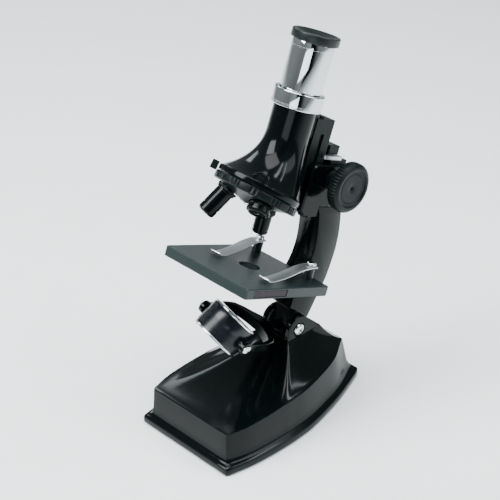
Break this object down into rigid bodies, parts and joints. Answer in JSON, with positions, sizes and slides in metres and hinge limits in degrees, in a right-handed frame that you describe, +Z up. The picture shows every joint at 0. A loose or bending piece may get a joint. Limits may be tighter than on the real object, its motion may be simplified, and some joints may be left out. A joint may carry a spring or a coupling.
{
  "type": "kids microscope",
  "caption": "Upright toy microscope: flared base, inclining arm, rack focus with two knobs, three-objective turret, stage with two clips, and a swivelling lamp and mirror drum.",
  "frame": {"origin": "on the table under the middle of the base", "axes": "+Z up, +X to the microscope's right, -Y towards the front edge of the base and the stage"},
  "size_m": [0.093, 0.1466, 0.2689],
  "materials": {
    "gloss_black": "gloss",
    "satin_black": "satin",
    "stage_grey": "satin",
    "chrome": "polished",
    "steel": "satin",
    "brass": "satin",
    "rubber": "matte",
    "purple": "gloss",
    "white": "satin",
    "glass": "clear",
    "mirror": "polished"
  },
  "bodies": {
    "base": {"base_shell": "gloss_black", "base_plate": "satin_black", "rubber_foot_1": "rubber", "rubber_foot_2": "rubber", "rubber_foot_3": "rubber", "rubber_foot_4": "rubber", "base_screw_1": "steel", "base_screw_2": "steel", "pivot_bolt": "chrome", "friction_washer_left": "steel", "friction_washer_right": "steel"},
    "arm": {"arm_limb": "gloss_black", "focus_head": "gloss_black", "head_screw": "steel", "head_cover": "satin_black", "slide_keeper": "steel", "stop_block": "satin_black", "stage_plate": "stage_grey", "stage_side_panel": "purple", "stage_bracket": "satin_black", "stage_screw": "steel", "clip_screw_left": "chrome", "clip_screw_right": "chrome"},
    "focus_drive": {"pinion_shaft": "brass", "focus_knob_left": "satin_black", "focus_knob_right": "satin_black"},
    "tube": {"slide_block": "satin_black", "focus_rack": "brass", "slide_screw": "steel", "body_tube": "gloss_black", "tube_collar": "chrome", "collar_set_screw": "steel", "turret_screw": "steel", "click_block": "satin_black"},
    "eyepiece": {"eyepiece_tube": "chrome", "field_lens": "glass", "eyepiece_cap": "satin_black", "eye_lens": "glass"},
    "turret": {"turret_disc": "satin_black", "objective_high": "gloss_black", "objective_mid": "gloss_black", "objective_low": "gloss_black", "objective_lens_high": "glass", "objective_lens_mid": "glass", "objective_lens_low": "glass"},
    "clip_left": {"stage_clip_left": "steel"},
    "clip_right": {"stage_clip_right": "steel"},
    "fork": {"lamp_fork": "gloss_black", "fork_pin_left": "chrome", "fork_pin_right": "chrome"},
    "drum": {"drum_housing": "satin_black", "lamp_bezel": "chrome", "lamp_lens": "glass", "lamp_reflector": "chrome", "led": "white", "coin_cell": "steel", "cell_contact": "brass", "mirror_bezel": "chrome", "mirror": "mirror"},
    "switch": {"lamp_switch": "white"}
  },
  "joints": [
    {"name": "arm_tilt", "type": "hinge", "parent": "base", "child": "arm", "pos_m": [0, 0.0214, 0.058], "axis": [-1, 0, 0], "range_deg": [-21.9, 23]},
    {"name": "focus_slide", "type": "slide", "parent": "arm", "child": "tube", "axis": [0, 0.373, 0.9278], "range_m": [-0.018, 0.012]},
    {"name": "pinion_spin", "type": "hinge", "parent": "arm", "child": "focus_drive", "pos_m": [0, 0.04969, 0.1627], "axis": [1, 0, 0], "range_deg": [-134, 200]},
    {"name": "turret_spin", "type": "hinge", "parent": "tube", "child": "turret", "pos_m": [0, -0.0073, 0.16945], "axis": [0, 0.6347, 0.7727], "continuous": true},
    {"name": "eyepiece_draw", "type": "slide", "parent": "tube", "child": "eyepiece", "axis": [0, 0.373, 0.9278], "range_m": [0, 0.012]},
    {"name": "clip_left_swivel", "type": "hinge", "parent": "arm", "child": "clip_left", "pos_m": [-0.024, 0.01964, 0.1126], "axis": [0, 0.373, 0.9278], "range_deg": [-30, 30]},
    {"name": "clip_right_swivel", "type": "hinge", "parent": "arm", "child": "clip_right", "pos_m": [0.024, 0.01964, 0.1126], "axis": [0, 0.373, 0.9278], "range_deg": [-30, 30]},
    {"name": "lamp_swivel", "type": "hinge", "parent": "arm", "child": "fork", "pos_m": [0, -0.00681, 0.06826], "axis": [0, 0.9278, -0.373], "range_deg": [-40, 10]},
    {"name": "drum_tilt", "type": "hinge", "parent": "fork", "child": "drum", "pos_m": [0, -0.03511, 0.07964], "axis": [0.9659, -0.0965, -0.2401], "continuous": true},
    {"name": "lamp_switch_slide", "type": "slide", "parent": "drum", "child": "switch", "axis": [0.9659, -0.0965, -0.2401], "range_m": [0, 0.004]}
  ],
  "couplings": [
    {"joint": "pinion_spin", "follows": "focus_slide", "rad_per_m": -192.31}
  ]
}
